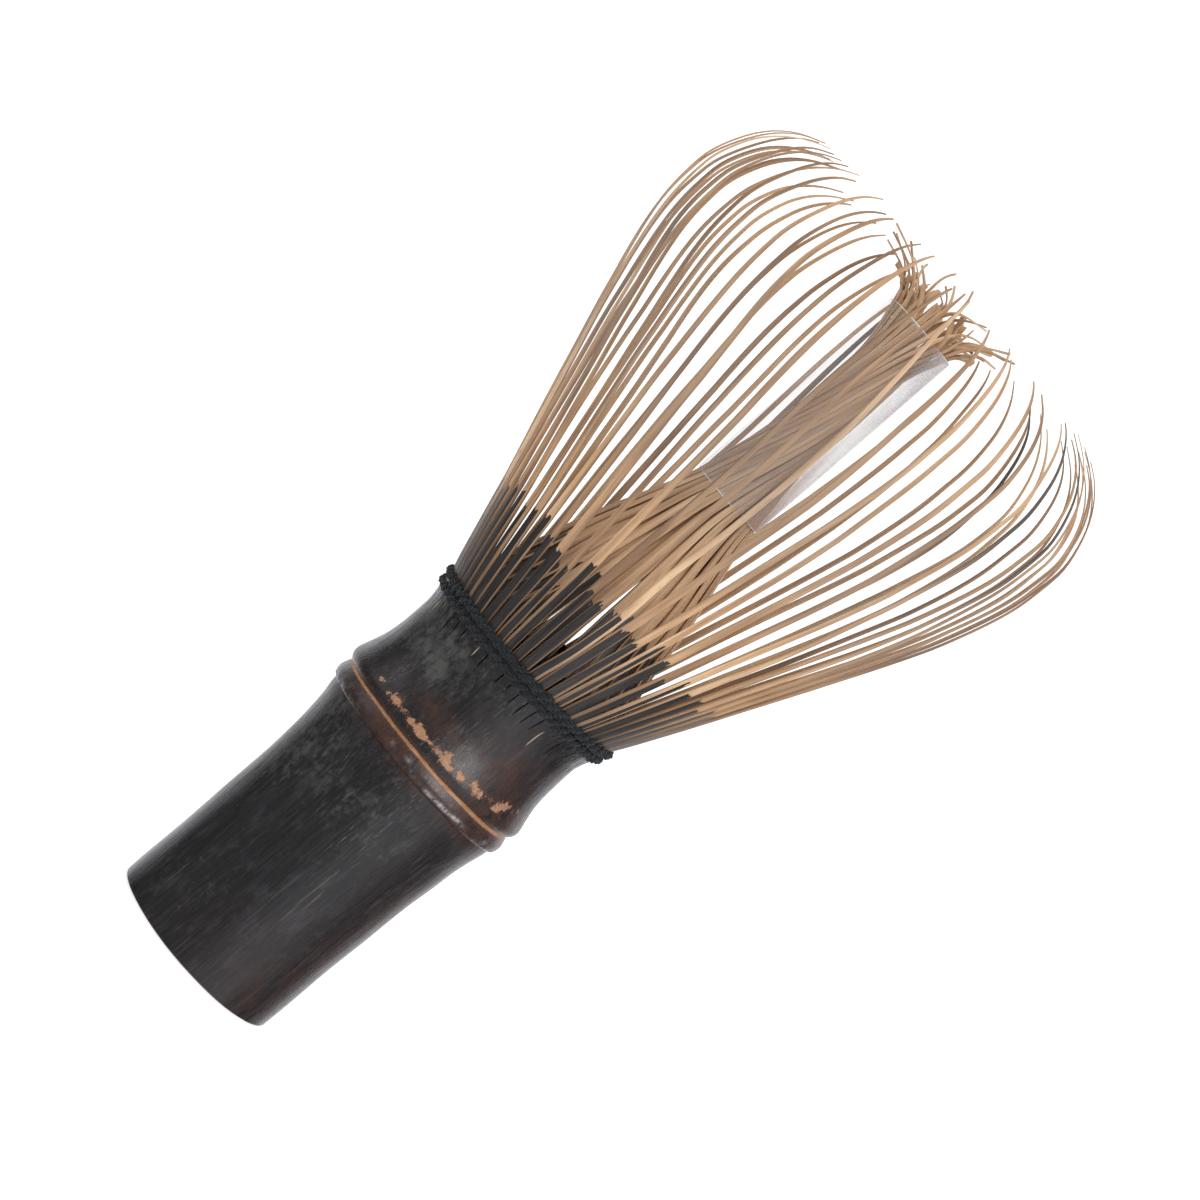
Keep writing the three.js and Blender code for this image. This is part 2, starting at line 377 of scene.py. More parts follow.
def black_bamboo():
    """The culm's satin black skin, with streaks, grey mottling, brown tints, wear, painted glints on the
    lip and painted shade in the cuts.
    """
    material, tree, shader = new_material("black_bamboo_skin", Specular_IOR_Level=0.5)
    round_place = millimetres(tree)
    long_place = millimetres(tree, 0.045)
    streaks = cloud(tree, long_place, 3.0, 7.0, 0.66)
    broad = cloud(tree, millimetres(tree, 0.14), 0.75, 5.0, 0.6)
    hairs = cloud(tree, millimetres(tree, 0.016), 5.5, 2.0, 0.5)
    grain = cloud(tree, millimetres(tree, 0.85), 1.2, 10.0, 0.8)
    patches = cloud(tree, millimetres(tree, 0.7), 0.42, 6.0, 0.62)
    specks = cloud(tree, round_place, 3.2, 5.0, 0.7)

    broad_share = between(tree, broad, 0.3, 0.7, 0.35, 1.0)
    lights = times(tree, between(tree, streaks, 0.38, 0.72), broad_share)
    colour = mixed(tree, lights, CHARCOAL, WORN_CHARCOAL)
    faded = cloud(tree, millimetres(tree, 0.42), 0.62, 7.0, 0.68)
    colour = mixed(tree, between(tree, faded, 0.48, 0.72, 0.0, 0.7), colour, FADED_CHARCOAL)

    brown_noise = between(tree, cloud(tree, millimetres(tree, 0.3), 0.9, 5.0, 0.6), 0.3, 0.62)
    brown = times(tree, brown_noise, attribute(tree, "brown"))
    colour = mixed(tree, brown, colour, SMOKED_BROWN)

    wanted = times(tree, attribute(tree, "mottle"), 0.2)
    coarse = times(tree, patches, 0.32)
    cover = plus(tree, coarse, times(tree, grain, 0.68))
    mottle = between(tree, plus(tree, cover, wanted), 0.55, 0.77)
    mottle = times(tree, mottle, between(tree, streaks, 0.3, 0.6, 0.6, 0.95))
    colour = mixed(tree, mottle, colour, LICHEN_GREY)

    sparse = between(tree, cloud(tree, millimetres(tree, 0.1), 0.45, 2.0, 0.5), 0.46, 0.62)
    scratches = times(tree, between(tree, hairs, 0.6, 0.7), sparse)
    colour = mixed(tree, times(tree, scratches, 0.6), colour, SCRATCH)

    blots = cloud(tree, round_place, 0.9, 3.0, 0.5)
    wear_noise = plus(tree, attribute(tree, "wear"), between(tree, blots, 0.3, 0.7, -0.4, 0.3))
    wear_more = plus(tree, wear_noise, between(tree, specks, 0.3, 0.7, -0.25, 0.25))
    near_wear = between(tree, attribute(tree, "wear"), 0.04, 0.2)
    wear_more = times(tree, wear_more, near_wear)
    wear = between(tree, wear_more, 0.38, 0.72)
    colour = mixed(tree, between(tree, wear_more, 0.1, 0.45, 0.0, 0.85), colour, SMOKED_BROWN)
    worn_colour = mixed(tree, between(tree, specks, 0.42, 0.6), NODE_ORANGE, WORN_TAN)
    colour = mixed(tree, wear, colour, worn_colour)

    level = attribute(tree, "level")
    line_ragged = plus(tree, level, between(tree, specks, 0.3, 0.7, -0.06, 0.06))
    off_line = calculate(tree, "ABSOLUTE", calculate(tree, "SUBTRACT", line_ragged, LINE_HEIGHT), 0.0)
    wider = times(tree, attribute(tree, "brown"), 0.13)
    off_line = calculate(tree, "SUBTRACT", off_line, wider)
    line = between(tree, off_line, 0.05, 0.17, 1.0, 0.0)
    colour = mixed(tree, between(tree, off_line, 0.1, 0.75, 0.55, 0.0), colour, LINE_HALO)
    # Pale flecks on the lip above the scar: painted glints, standing in for the light's reflection there.
    painted_glints = times(tree, attribute(tree, "glint"), between(tree, grain, 0.4, 0.6))
    colour = mixed(tree, painted_glints, colour, PAINTED_GLINT)
    line_colour = mixed(tree, between(tree, blots, 0.35, 0.65), NODE_ORANGE, LINE_PALE)
    colour = mixed(tree, line, colour, line_colour)
    colour = mixed(tree, attribute(tree, "sliver"), colour, PALE_SLIVER)
    # Near-black in the saw and knife cuts: painted shade inside the slits.
    colour = mixed(tree, attribute(tree, "kerf"), colour, KERF_SHADE)
    plug(tree, shader.inputs["Base Color"], colour)

    bare = calculate(tree, "MAXIMUM", wear, line)
    sheen = between(tree, streaks, 0.35, 0.65, 0.22, 0.32)
    dulled = plus(tree, sheen, between(tree, mottle, 0.0, 1.0, 0.0, 0.22))
    dulled = plus(tree, dulled, times(tree, bare, 0.2))
    plug(tree, shader.inputs["Roughness"], dulled)
    relief = times(tree, streaks, 0.7)
    relief = plus(tree, relief, times(tree, grain, 0.5))
    relief = calculate(tree, "SUBTRACT", relief, times(tree, bare, 0.3))
    bumped(tree, shader, relief, SKIN_RELIEF)
    return material


def cut_bamboo():
    """Sawn and bored bamboo: pale wood with the dark ends of its vessels."""
    material, tree, shader = new_material("cut_bamboo", Specular_IOR_Level=0.3)
    place = millimetres(tree, 0.12)
    vessels = add(tree, "TexVoronoi", {"Vector": place, "Scale": 2.2}).outputs["Distance"]
    wood = cloud(tree, place, 1.4, 5.0, 0.6)
    colour = mixed(tree, between(tree, wood, 0.3, 0.7), CUT_WOOD_DARK, CUT_WOOD_PALE)
    colour = mixed(tree, between(tree, vessels, 0.12, 0.24, 0.75, 0.0), colour, VESSEL_BROWN)
    plug(tree, shader.inputs["Base Color"], colour)
    plug(tree, shader.inputs["Roughness"], between(tree, wood, 0.3, 0.7, 0.55, 0.75))
    relief = plus(tree, wood, times(tree, vessels, 0.6))
    bumped(tree, shader, relief, CUT_RELIEF)
    return material


def tan_colour(tree):
    """Shaved bamboo: each tine has its own tan, with fine fibres along it."""
    fine = cloud(tree, fibre_place(tree, 9.0, 0.35), 1.0, 4.0, 0.6)
    broad = cloud(tree, fibre_place(tree, 1.6, 0.09), 1.0, 3.0, 0.5)
    tint = plus(tree, attribute(tree, "tint"), between(tree, broad, 0.3, 0.7, -0.22, 0.22))
    ramp = add(tree, "ValToRGB", {"Fac": tint})
    set_stops(ramp, TANS)
    streaks = between(tree, fine, 0.52, 0.72, 0.0, 0.5)
    streaked = mixed(tree, streaks, ramp.outputs[0], FIBRE_BROWN)
    place = add(tree, "Attribute", attribute_name="fibre").outputs["Vector"]
    travelled = add(tree, "SeparateXYZ", {"Vector": place}).outputs["Y"]
    soaked = between(tree, travelled, 20.0, 36.0)
    soaked = times(tree, soaked, between(tree, travelled, 44.0, 62.0, 0.42, 0.1))
    streaked = mixed(tree, soaked, streaked, SOAKED_TAN)
    # Darker towards the roots of the tines.
    rootward = between(tree, travelled, 1.0, 17.0, 0.76, 0.0)
    streaked = mixed(tree, rootward, streaked, ROOTWARD_TAN)
    return mixed(tree, attribute(tree, "stain"), streaked, TEA_STAIN), fine


def shaved_bamboo():
    """The cut faces of the tines."""
    material, tree, shader = new_material("shaved_bamboo", Specular_IOR_Level=0.4)
    colour, fine = tan_colour(tree)
    plug(tree, shader.inputs["Base Color"], colour)
    plug(tree, shader.inputs["Roughness"], between(tree, fine, 0.3, 0.7, 0.45, 0.62))
    bumped(tree, shader, fine, FIBRE_RELIEF)
    return material


def peeled_bamboo():
    """The outer faces of the tines: black skin below the uneven peel line, tan above it."""
    material, tree, shader = new_material("peeled_bamboo", Specular_IOR_Level=0.5)
    colour, fine = tan_colour(tree)
    ragged = cloud(tree, fibre_place(tree, 2.2, 0.7), 1.0, 3.0, 0.55)
    edge = plus(tree, attribute(tree, "peel"), between(tree, ragged, 0.3, 0.7, -0.55, 0.55))
    bare = between(tree, edge, -0.1, 0.1)
    streak = between(tree, cloud(tree, fibre_place(tree, 7.0, 0.2), 1.0, 4.0, 0.6), 0.35, 0.68)
    skin = mixed(tree, streak, ROOT_BLACK, ROOT_GREY)
    plug(tree, shader.inputs["Base Color"], mixed(tree, bare, skin, colour))
    rough = between(tree, fine, 0.3, 0.7, 0.36, 0.46)
    rough = plus(tree, rough, times(tree, bare, 0.12))
    plug(tree, shader.inputs["Roughness"], rough)
    relief = calculate(tree, "SUBTRACT", fine, times(tree, bare, 1.2))
    bumped(tree, shader, relief, FIBRE_RELIEF)
    return material


def dark_thread():
    """Soft spun yarn, near black with a little blue."""
    material, tree, shader = new_material("dark_thread", Roughness=0.95, Specular_IOR_Level=0.15,
                                          Sheen_Weight=0.12, Sheen_Roughness=0.5)
    lint = cloud(tree, millimetres(tree), 5.0, 5.0, 0.7)
    wool = cloud(tree, millimetres(tree), 1.1, 3.0, 0.5)
    colour = mixed(tree, between(tree, lint, 0.35, 0.7), THREAD_DARK, THREAD_LIGHT)
    colour = mixed(tree, between(tree, wool, 0.45, 0.7, 0.0, 0.5), colour, THREAD_DULL)
    plug(tree, shader.inputs["Base Color"], colour)
    bumped(tree, shader, lint, YARN_RELIEF)
    return material


def clear_film():
    """Thin clear film: seen through from the front, paler where it turns away and where it laps, with a
    painted highlight along its top and bottom edges.
    """
    material, tree, shader = new_material("clear_film", Specular_IOR_Level=0.35, IOR=1.45)
    haze = cloud(tree, millimetres(tree, 0.6), 0.13, 2.0, 0.4)
    facing = add(tree, "LayerWeight", {"Blend": 0.3}).outputs["Facing"]
    veil = between(tree, haze, 0.3, 0.7, 0.05, 0.1)
    lap = times(tree, attribute(tree, "lap"), between(tree, haze, 0.36, 0.6, 0.12, 0.38))
    edge = times(tree, calculate(tree, "POWER", facing, 3.0), 0.25)
    rim = times(tree, attribute(tree, "rim"), 0.5)
    cover = plus(tree, veil, edge)
    cover = plus(tree, cover, plus(tree, rim, lap))
    colour = mixed(tree, between(tree, haze, 0.3, 0.7), FILM_GREY, FILM_PALE)
    tea = times(tree, attribute(tree, "tea"), between(tree, haze, 0.3, 0.7, 0.75, 1.0))
    cover = plus(tree, cover, times(tree, tea, 0.34))
    colour = mixed(tree, tea, colour, TEA_FILM)
    # A painted highlight along the top and bottom edges.
    colour = mixed(tree, attribute(tree, "rim"), colour, FILM_EDGE_HIGHLIGHT)
    plug(tree, shader.inputs["Base Color"], colour)
    plug(tree, shader.inputs["Alpha"], calculate(tree, "MINIMUM", cover, 1.0))
    plug(tree, shader.inputs["Roughness"], between(tree, haze, 0.3, 0.7, 0.3, 0.45))
    return material


# ---------------------------------------------------------------- the culm

SKIN_RADIUS = 13.5  # for widths round the skin
SAW_CUTS = (3.6, 5.6)  # shortest and longest, between two segments
KNIFE_CUTS = (2.2, 4.4)  # the same, between two tines of a segment
KERF_SEED = 11
WEAR_SEED = 5


def kerf_lengths():
    """How far each cut between two tines runs down below the collar's top."""
    chance = random.Random(KERF_SEED)
    between_segments = TINES_PER_SEGMENT // 2
    return [chance.uniform(*(SAW_CUTS if number % TINES_PER_SEGMENT == between_segments else KNIFE_CUTS))
            for number in range(TINES)]


def bump_field(angle, height, places):
    """A smooth field with a rounded spot at each place."""
    total = np.zeros(np.broadcast(angle, height).shape)
    for degrees, level, wide, high, strength in places:
        gap = np.angle(np.exp(1j * (angle - FRONT - math.radians(degrees)))) * SKIN_RADIUS
        total += strength * np.exp(-((gap / wide) ** 2) - ((height - level) / high) ** 2)
    return total


def wear_spots():
    """Rubbed patches just above the line: those on the front, then more round the back."""
    spots = [(-42, 38.0, 0.7, 0.5, 0.45), (-28, 37.9, 1.2, 0.75, 0.85), (-13, 37.8, 1.3, 0.6, 0.85),
             (-5, 37.8, 1.5, 0.5, 0.75), (3, 38.0, 1.0, 0.7, 0.65), (9, 38.1, 0.8, 0.9, 0.75),
             (15, 37.8, 1.2, 0.5, 0.55), (23, 38.0, 1.6, 0.6, 0.52), (31, 38.3, 1.5, 0.7, 0.55),
             (46, 38.3, 1.0, 0.8, 0.85), (51, 38.9, 0.9, 0.7, 0.6), (60, 39.6, 1.4, 0.7, 0.42)]
    chance = random.Random(WEAR_SEED)
    degrees = 88
    while degrees < 272:
        spots.append((degrees, chance.uniform(38, 38.8), chance.uniform(0.8, 1.8),
                      chance.uniform(0.5, 1.0), chance.uniform(0.6, 0.95)))
        degrees += chance.uniform(9, 26)
    return spots


# Spots on the skin, as (degrees from the front, height, size round, size up, strength): grey
# mottling, brown tints, and pale flecks on the lip above the scar that are painted glints.
MOTTLE_PLACES = [
    (-30, 43.3, 4.5, 2.0, 0.85), (-46, 46.5, 5, 3.2, 0.55), (-70, 44, 5, 4, 0.4), (-8, 46.8, 8, 2.2, 0.5),
    (-62, 33.5, 8, 2.6, 0.6), (-50, 26, 6, 5, 0.42), (-20, 27, 8, 5, 0.28), (-72, 20, 5, 9, 0.42),
    (-40, 5, 8, 8, 0.22), (18, 26, 7, 6, 0.28),
    (120, 44, 9, 4, 0.8), (170, 25, 12, 9, 0.5), (-130, 40, 9, 6, 0.7), (-150, 12, 10, 9, 0.4),
    (100, 10, 9, 10, 0.35),
]
BROWN_PLACES = [
    (62, 36.5, 9, 3.2, 1.0), (30, 34.6, 9, 1.5, 0.9), (0, 34.6, 9, 1.5, 0.75), (-35, 34.8, 7, 1.4, 0.5),
    (-6, 40.5, 6, 1.6, 0.75), (40, 42, 6, 3, 0.7), (70, 14, 5, 14, 0.55), (45, 4, 8, 5, 0.4),
    (120, 35, 12, 3, 0.9), (180, 36, 14, 3, 0.8), (-110, 35, 12, 2.5, 0.7), (150, 12, 9, 12, 0.5),
]
GLINT_PLACES = [
    (18, 34.0, 1.2, 0.2, 0.7), (27, 34.1, 1.5, 0.24, 1.0), (36, 34.2, 1.2, 0.24, 0.8),
    (-2, 34.8, 0.4, 0.3, 0.5), (4, 34.2, 0.4, 0.3, 0.4), (-13, 34.6, 0.4, 0.3, 0.3),
    (60, 34.4, 0.5, 0.3, 0.4), (130, 34.3, 1.4, 0.3, 0.6), (-95, 34.4, 1.0, 0.3, 0.6),
    (-150, 34.3, 1.6, 0.3, 0.7),
]
SKIN, CUT = 0, 1  # the culm's materials
# Pale splinters in the kerfs, as (degrees from the front, bottom, top).
SLIVERS = [(-21, 47.8, 49.4), (33, 45.7, 48.0), (-63, 47.1, 48.6),
           (69, 47.4, 48.8), (141, 46, 48.6), (-147, 47, 48.9)]
COLLAR_RADIUS = 13.2
SLIVER_HALF_WIDTH = 0.05
SLIVER_FADE = 0.3
# Columns of the culm round each kerf, as (degrees from it, share of its depth).
KERF_COLUMNS = [(-2.3, 0), (-1.4, 0), (-0.36, 0), (-0.14, 0.75), (0, 1), (0.14, 0.75), (0.36, 0),
                (1.4, 0), (2.3, 0)]
KERF_DEPTH = 0.3
KERF_FADE = 1.6  # how long a kerf takes to reach its full depth
LUMP_HEIGHT = 0.09
RIPPLE_HEIGHT = 0.025
CHIP_HEIGHT = 0.16
CULM_MIDDLE = 12.5  # the radius at which the skin's noise is taken
# The culm's inside, as (radius, height): the hollow above the septum, then the bore below it.
HOLLOW = [
    (13.3, COLLAR_TOP + 0.05), (12.0, COLLAR_TOP - 0.1), (11.75, COLLAR_TOP - 0.6), (11.4, 47),
    (10.6, 43), (9.2, 40), (7.4, 38), (4.5, 37.1), (1.6, 36.85), (0.15, 36.8),
]
BORE = [
    (0.15, SEPTUM_BOTTOM), (3.0, SEPTUM_BOTTOM + 0.1), (6.2, SEPTUM_BOTTOM - 0.2),
    (7.2, SEPTUM_BOTTOM - 1.0), (BORE_RADIUS, SEPTUM_BOTTOM - 3), (BORE_RADIUS, 24),
    (BORE_RADIUS, 12), (BORE_RADIUS, 2), (BORE_RADIUS, 0.35), (BORE_RADIUS + 0.2, 0.08),
    (BORE_RADIUS + 0.5, 0.0), (10.2, 0.0), (11.5, 0.0),
]


def culm_heights():
    """The heights of the culm's rings: close together at the rim and at the node."""
    rim = [0, 0.06, 0.15, 0.3, 0.6]
    return np.concatenate([rim, np.arange(1.2, 30.6, 0.72), np.arange(30.8, 40.6, 0.15),
                           np.arange(40.9, COLLAR_TOP, 0.33), [COLLAR_TOP]])


def culm_outside(angle, groove, lengths):
    """The skin: its points, how high each lies against the tilted node, and how deep it is cut."""
    outline = smooth_line(CULM_OUTSIDE, 900)
    heights = culm_heights()[:, None]
    level = heights + 0 * angle
    tilt = -0.17 * np.cos(2 * angle) + 0.04 * np.sin(3 * angle + 2.0) + 0.02 * np.sin(11 * angle)
    near_node = ease(level, 28, 32) * (1 - ease(level, 41, 45))
    level = level - tilt * near_node
    radius = np.interp(level, outline[:, 1], outline[:, 0])
    radius = radius * (1 + 0.003 * np.cos(2 * angle) + 0.002 * np.cos(5 * angle + 1.0))
    place = around(CULM_MIDDLE, angle, heights)
    radius = radius + noise_at(place, 0.16) * LUMP_HEIGHT
    radius = radius + noise_at(place, 0.75, 0.35) * RIPPLE_HEIGHT
    scar = np.exp(-(((level - SCAR_HEIGHT - 0.3) / 0.3) ** 2))
    radius = radius + scar * noise_at(place, 1.7) * CHIP_HEIGHT
    depth = ease(heights, COLLAR_TOP - lengths, COLLAR_TOP - lengths + KERF_FADE) * groove
    outside = around(radius - KERF_DEPTH * depth, angle, heights)
    outside[..., 0] += at_height(CULM_LEAN, outside[..., 2])
    return outside, level, depth


def culm_faces(skin_rows, hollow_rows, bore_rows, sides):
    """Faces and their materials: the skin and the hollow, the septum, the bore and the sawn rim."""
    upper_rows = skin_rows + hollow_rows
    first_below = upper_rows * sides
    faces = ring_quads(upper_rows, sides)
    looks = [SKIN] * ((skin_rows - 1) * sides) + [CUT] * (hollow_rows * sides)
    faces.append(list(range(first_below - sides, first_below)))
    faces += ring_quads(bore_rows, sides, first_below)
    faces.append(list(range(first_below + sides - 1, first_below - 1, -1)))
    looks += [CUT] * ((bore_rows - 1) * sides + 2)
    base = np.arange(sides)
    faces += quads_between(base + (upper_rows + bore_rows - 1) * sides, base)
    looks += [SKIN] * sides
    return faces, looks


def splinters(angle, level):
    """1 on the pale splinters in the kerfs, 0 elsewhere."""
    total = np.zeros(level.shape)
    for degrees, low, high in SLIVERS:
        gap = np.angle(np.exp(1j * (angle - FRONT - math.radians(degrees)))) * COLLAR_RADIUS
        starts = ease(level, low - SLIVER_FADE, low + SLIVER_FADE)
        ends = ease(level, high - SLIVER_FADE, high + SLIVER_FADE)
        total += (np.abs(gap) < SLIVER_HALF_WIDTH) * starts * (1 - ends)
    return total


def culm():
    """The handle, node and collar: one length of bamboo, bored from below and split from above."""
    offsets, shares = np.array(KERF_COLUMNS).T
    kerfs = (np.arange(TINES) + 0.5) * TINE_PITCH
    angle = (kerfs[:, None] + np.radians(offsets)).ravel()
    lengths = np.repeat(kerf_lengths(), len(KERF_COLUMNS))
    outside, level, depth = culm_outside(angle, np.tile(shares, TINES), lengths)
    hollow = np.stack([around(radius, angle, height) for radius, height in HOLLOW])
    bore = np.stack([around(radius, angle, height) for radius, height in BORE])

    shape = Shape()
    shape.points.append(np.concatenate([outside, hollow, bore]).reshape(-1, 3))
    shape.faces, shape.looks = culm_faces(len(outside), len(hollow), len(bore), len(angle))
    angle = np.broadcast_to(angle, level.shape)
    slivers = splinters(angle, level)
    fields = {
        "level": level,
        "wear": bump_field(angle, level, wear_spots()),
        "mottle": np.clip(bump_field(angle, level, MOTTLE_PLACES), 0.08, 1),
        "brown": np.clip(bump_field(angle, level, BROWN_PLACES), 0, 1),
        "sliver": np.clip(slivers, 0, 1),
        "glint": np.clip(bump_field(angle, level, GLINT_PLACES), 0, 1),
        # where the cuts get painted shade
        "kerf": np.clip(depth * 0.8 - slivers, 0, 1),
    }
    hidden = np.zeros((len(hollow) + len(bore), angle.shape[1]))
    for name, field in fields.items():
        shape.values[name] = [np.concatenate([field, hidden]).ravel()]
    piece = new_piece("culm", shape, [black_bamboo(), cut_bamboo()], crease=40)
    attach(piece, "handle")
    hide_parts("handle")


# ---------------------------------------------------------------- the tines

def strip_section(left, right):
    """Outline of a split tine as (outwards, sideways) shares: skin face, two shaved corners, back."""
    return [(-0.06, -0.5 + left), (0.0, -0.2), (0.0, 0.2), (-0.06, 0.5 - right),
            (-0.42, 0.5), (-0.62, 0.49), (-1.0, 0.40), (-1.0, -0.40), (-0.62, -0.49), (-0.42, -0.5)]


SKIN_FACES = [1, 1, 1, 0, 0, 0, 0, 0, 0, 0]  # which sides of the section are skin
FIBRE_STEP = 7.31  # sets the fibres of one tine apart from the next one's
SEGMENT_ROOT = (14.0, 52.5)  # radius and height of a segment's root
SEGMENT_TIP = (31.0, 101.0)  # and of its tip


def strip(shape, path, width, depth, section, roll, number, **values):
    """Adds one tine: its skin face runs along the path."""
    along = unit(np.gradient(path, axis=0))
    outwards = path * (1, 1, 0)
    sideways = unit(np.cross((0, 0, 1), outwards))
    normal = unit(np.cross(sideways, along))
    sideways = np.cross(along, normal)
    cos, sin = np.cos(roll)[:, None], np.sin(roll)[:, None]
    normal, sideways = normal * cos + sideways * sin, sideways * cos - normal * sin
    out, side = np.array(section).T
    rings = rings_along(path, normal, out * depth[:, None], sideways, side * width[:, None])
    travelled = distance_along(path)
    rows, sides = len(path), len(section)
    perimeter = (side + out * 0.37) * width[:, None]
    fibre = np.stack([perimeter, np.repeat(travelled[:, None], sides, axis=1),
                      np.full((rows, sides), number * FIBRE_STEP)], axis=-1)
    shape.add_tube(rings, SKIN_FACES, fibre=fibre, **values)


def shaved_share(chance):
    """How much of a tine's width one shaved corner takes: mostly little, now and then a lot."""
    return chance.uniform(0.28, 0.48) if chance.random() < 0.24 else chance.uniform(0.02, 0.14)


def side_tints(chance, rows, middle, spread):
    """A tine's own shade of tan, a little different on its two shaved sides."""
    skin = middle + float(np.clip(chance.gauss(0, spread), -1.5 * spread, 1.5 * spread))
    left, right = (skin + chance.gauss(0, 0.12) for _ in range(2))
    around_tine = [left, skin, skin, right, right, right, skin, skin, left, left]
    return np.tile(around_tine, (rows, 1))


def waves(chance, share, most):
    """A slow random wander from root to tip, up to about most."""
    total = 0
    for cycles in (0.7, 1.6, 2.9):
        total = total + chance.gauss(0, 0.5) / cycles * np.sin(TURN * (cycles * share + chance.random()))
    return total * most * share**1.2


OUTER_ROWS = 72
OUTER_SEED = 900
# Tines that stand aside by some degrees and leave a slit through the roots.
PARTED_OUTER = {46: 1.8, 14: -1.8}
PARTED_INNER = {45: -1.4, 46: 1.2, 13: -1.4, 14: 1.2}


def parting(height):
    """The share of its parting that a tine has at a height: it starts and ends in the roots."""
    return ease(height, 50, 58) * (1 - ease(height, 62, 72))


def outer_tine(shape, number):
    chance = random.Random(OUTER_SEED + number)
    line = smooth_line(CAGE_LINE, 84)
    kept = chance.uniform(0.972, 1.0)
    line = smooth_line(line[: int(len(line) * kept)], OUTER_ROWS)
    share = np.linspace(0, kept, len(line))
    lean = np.clip(chance.gauss(0, 1.7), -3.2, 3.2)
    angle = number * TINE_PITCH + np.radians(lean * share**1.5 + waves(chance, share, 0.9))
    angle = angle + math.radians(chance.uniform(-0.25, 0.25))
    angle = angle + math.radians(PARTED_OUTER.get(number, 0)) * parting(line[:, 1])
    grow = ease(share, 0.08, 0.75)
    radius = line[:, 0] + chance.gauss(0, 0.45) * grow + waves(chance, share, 0.55)
    radius = radius - ease(share, 0.86, 1.0) * chance.uniform(-0.8, 1.6)
    height = line[:, 1] + ease(share, 0.8, 1.0) * chance.uniform(-0.5, 0.6)
    path = around(radius, angle, height)
    path[:, 0] += at_height(CAGE_LEAN, height)
    width = at_height(OUTER_WIDTH, height) * chance.uniform(0.8, 1.15)
    width = width * (1 + 0.05 * waves(chance, share, 1.0))
    root = 1 - ease(height, 54, 60)
    width = width * (1 - root) + at_height(OUTER_WIDTH, height) * root * 1.02
    depth = at_height(OUTER_DEPTH, height) * chance.uniform(0.85, 1.15)
    left, right = (shaved_share(chance) for _ in range(2))
    stain = 0.9 * ease(share, 0.5, 0.8) if number in STAINED_TINES else 0 * share
    peel = height - PEEL_HEIGHT - chance.gauss(0, 0.8)
    roll = math.radians(chance.gauss(0, 5)) * share
    strip(shape, path, width, depth, strip_section(left, right), roll, number=number,
          tint=side_tints(chance, len(path), 0.5, 0.23), stain=stain, peel=peel)


CORE_TWIST = math.radians(115)
CORE_ROWS = 92
FLARE_ROWS = 22
INNER_SEED = 3300


def flared_end(chance, start, lean):
    """The end of a core tine as (radius, height) steps: it bends outwards, and short ones curl."""
    is_long = chance.random() < 0.36
    length = chance.uniform(6.8, 9.2) if is_long else chance.uniform(3.0, 4.8)
    last_lean = math.radians(chance.uniform(52, 82) if is_long else chance.uniform(5, 115))
    share = np.linspace(0, 1, FLARE_ROWS)
    leans = lean + (last_lean - lean) * (ease(share, 0, 0.8) if is_long else share**1.2)
    step = length / (FLARE_ROWS - 1)
    out = np.cumsum(np.sin(leans)) * step
    up = np.cumsum(np.cos(leans)) * step
    thinning = 1 - (0.55 if is_long else -0.4) * ease(share, 0.2, 1)
    return np.column_stack([start[0] + out, start[1] + up]), thinning


def inner_tine(shape, number):
    """One tine of the core: it leans in, lies in one of two layers of the twist, and curls out."""
    chance = random.Random(INNER_SEED + number)
    in_heart = number % 2 == 1
    line = smooth_line(CORE_LINE, CORE_ROWS)
    share = np.linspace(0, 1, len(line))
    layer = 0.18 * ease(line[:, 1], 54, 60) + 0.82 * ease(line[:, 1], 68, 82)
    radius = line[:, 0] - layer * (0.66 if in_heart else 0.0)
    radius = radius * (1 - 0.12 * in_heart * layer) + layer * chance.uniform(-0.12, 0.05)
    slope = line[-1] - line[-3]
    end, thinning = flared_end(chance, (radius[-1], line[-1, 1]), math.atan2(slope[0], slope[1]))
    radius = np.concatenate([radius, end[:, 0]])
    height = np.concatenate([line[:, 1], end[:, 1]])
    flare = np.concatenate([0 * share, np.linspace(0, 1, FLARE_ROWS)])
    turn = CORE_TWIST * ease(height, 76, 112)
    spread = math.radians(chance.gauss(0, 0.4)) * ease(height, 55, 75)
    parted = math.radians(PARTED_INNER.get(number, 0)) * parting(height)
    angle = (number + 0.5) * TINE_PITCH + turn + spread + parted
    angle = angle + np.radians(flare**1.3 * chance.gauss(0, 16))
    path = around(radius, angle, height)
    path[:, 0] += at_height(CORE_LEAN, height)
    width = at_height(INNER_WIDTH, height) * chance.uniform(0.92, 1.08)
    if in_heart:
        width = width * (1 - 0.1 * ease(height, 80, 90))
    width = width * np.concatenate([1 + 0 * share, thinning])
    depth = at_height(INNER_DEPTH, height) * chance.uniform(0.9, 1.1)
    left, right = chance.uniform(0.08, 0.2), chance.uniform(0.08, 0.2)
    peel = height - PEEL_HEIGHT + 0.6 - chance.gauss(0, 1.0)
    roll = math.radians(chance.gauss(0, 7)) * ease(height, 60, 100)
    roll = roll + flare * math.radians(chance.gauss(0, 35))
    strip(shape, path, width, depth, strip_section(left, right), roll, number=number + TINES,
          tint=side_tints(chance, len(path), 0.57, 0.14), stain=0 * height, peel=peel)


